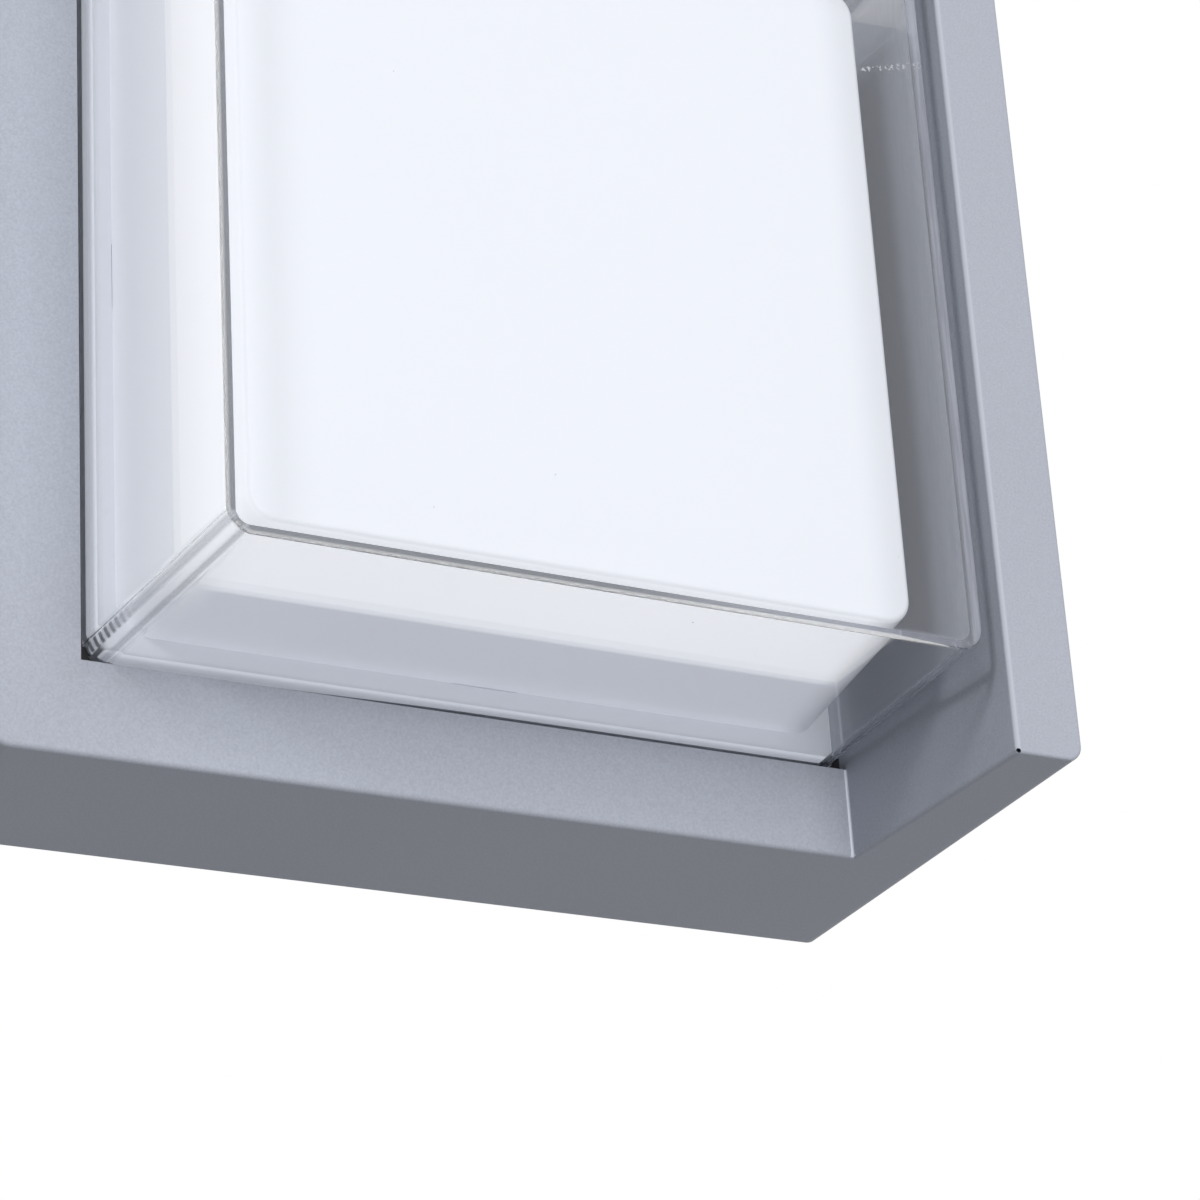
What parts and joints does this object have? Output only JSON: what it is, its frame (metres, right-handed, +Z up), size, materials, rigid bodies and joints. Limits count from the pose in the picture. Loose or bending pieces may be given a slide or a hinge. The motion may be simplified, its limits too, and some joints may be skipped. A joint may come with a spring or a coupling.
{
  "type": "outdoor wall lantern",
  "caption": "Square outdoor wall lantern: silver housing with one forward wing, clear drafted cover over an opal diffuser, lamp head that slides off its wall bracket.",
  "frame": {"origin": "centre of the wall screw holes, in the plane of the wall behind the bracket", "axes": "+Y into the wall, +X to the right as seen from the front, +Z up"},
  "size_m": [0.1869, 0.096, 0.18],
  "materials": {
    "silver_paint": "fine powder coat, satin",
    "clear_acrylic": "clear, polished",
    "opal_acrylic": "opal white, polished",
    "white_paint": "white, satin",
    "white_plastic": "white, matt",
    "black_rubber": "black, matt",
    "zinc_steel": "zinc plated",
    "board_white": "white solder mask",
    "emitter_yellow": "phosphor yellow",
    "pad_grey": "soft grey pad",
    "case_grey": "light grey, fine grain",
    "terminal_grey": "grey, matt",
    "plain_brass": "plain",
    "tinned_copper": "tinned, satin",
    "lead_brown": "insulation, satin",
    "lead_white": "insulation, satin",
    "lead_green": "insulation, satin"
  },
  "bodies": {
    "bracket": {"wall_bracket": "zinc_steel", "cable_grommet": "black_rubber", "bracket_earth_screw": "plain_brass"},
    "lamp_head": {"housing": "silver_paint", "clear_cover": "clear_acrylic", "opal_diffuser": "opal_acrylic", "gear_tray": "white_paint", "cover_gasket": "black_rubber", "reflector": "white_plastic", "tray_nuts": "zinc_steel", "reflector_rivets": "white_plastic", "led_board": "board_white", "led_chips": "emitter_yellow", "thermal_pad": "pad_grey", "board_screws": "zinc_steel", "board_connector": "white_plastic", "driver_case": "case_grey", "driver_lid": "case_grey", "driver_screws": "zinc_steel", "terminal_block": "terminal_grey", "terminal_screws": "plain_brass", "terminal_fixing": "zinc_steel", "cable_clamp": "terminal_grey", "clamp_screws": "zinc_steel", "earth_lug": "tinned_copper", "earth_nut": "zinc_steel", "input_leads": "lead_brown", "output_leads": "lead_white", "earth_lead": "lead_green", "side_screws": "zinc_steel", "side_washers": "black_rubber", "side_nuts": "zinc_steel"}
  },
  "joints": [
    {"name": "housing_pull_off", "type": "slide", "parent": "bracket", "child": "lamp_head", "axis": [0, -1, 0], "range_m": [0, 0.06]}
  ]
}
